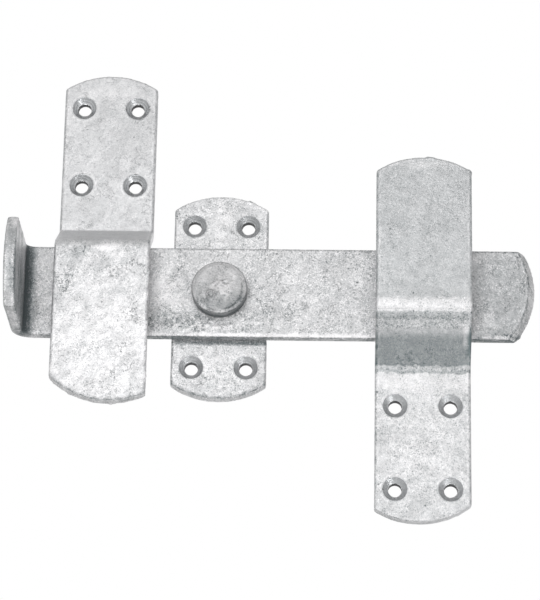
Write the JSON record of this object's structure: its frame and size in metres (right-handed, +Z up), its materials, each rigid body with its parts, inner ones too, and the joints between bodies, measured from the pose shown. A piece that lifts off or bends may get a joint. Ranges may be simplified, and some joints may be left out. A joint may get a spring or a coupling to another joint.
{
  "type": "kickover stable latch",
  "caption": "Galvanised foot-operated stable door latch: a flat bar with a bent kick lug, riveted to a back plate, and two cranked hook keeps.",
  "frame": {"origin": "the pivot's axis at the face of the door, which is the back of the back plate", "axes": "+X along the latch bar towards its plain end, +Z up the door, -Y out of the door"},
  "size_m": [0.2743, 0.062, 0.2494],
  "materials": {
    "zinc_plate": "hot-dip galvanised, mottled matt grey",
    "zinc_rivet": "hot-dip galvanised, mottled matt grey",
    "zinc_bar": "hot-dip galvanised, mottled matt grey",
    "zinc_keep": "hot-dip galvanised, mottled matt grey"
  },
  "bodies": {
    "ironwork": {"back_plate": "zinc_plate", "pivot_rivet": "zinc_rivet", "door_keep": "zinc_keep", "frame_keep": "zinc_keep"},
    "bar": {"latch_bar": "zinc_bar"}
  },
  "joints": [
    {"name": "kick_over", "type": "hinge", "parent": "ironwork", "child": "bar", "pos_m": [0, 0, 0], "axis": [0, -1, 0], "range_deg": [0, 105.5]}
  ]
}
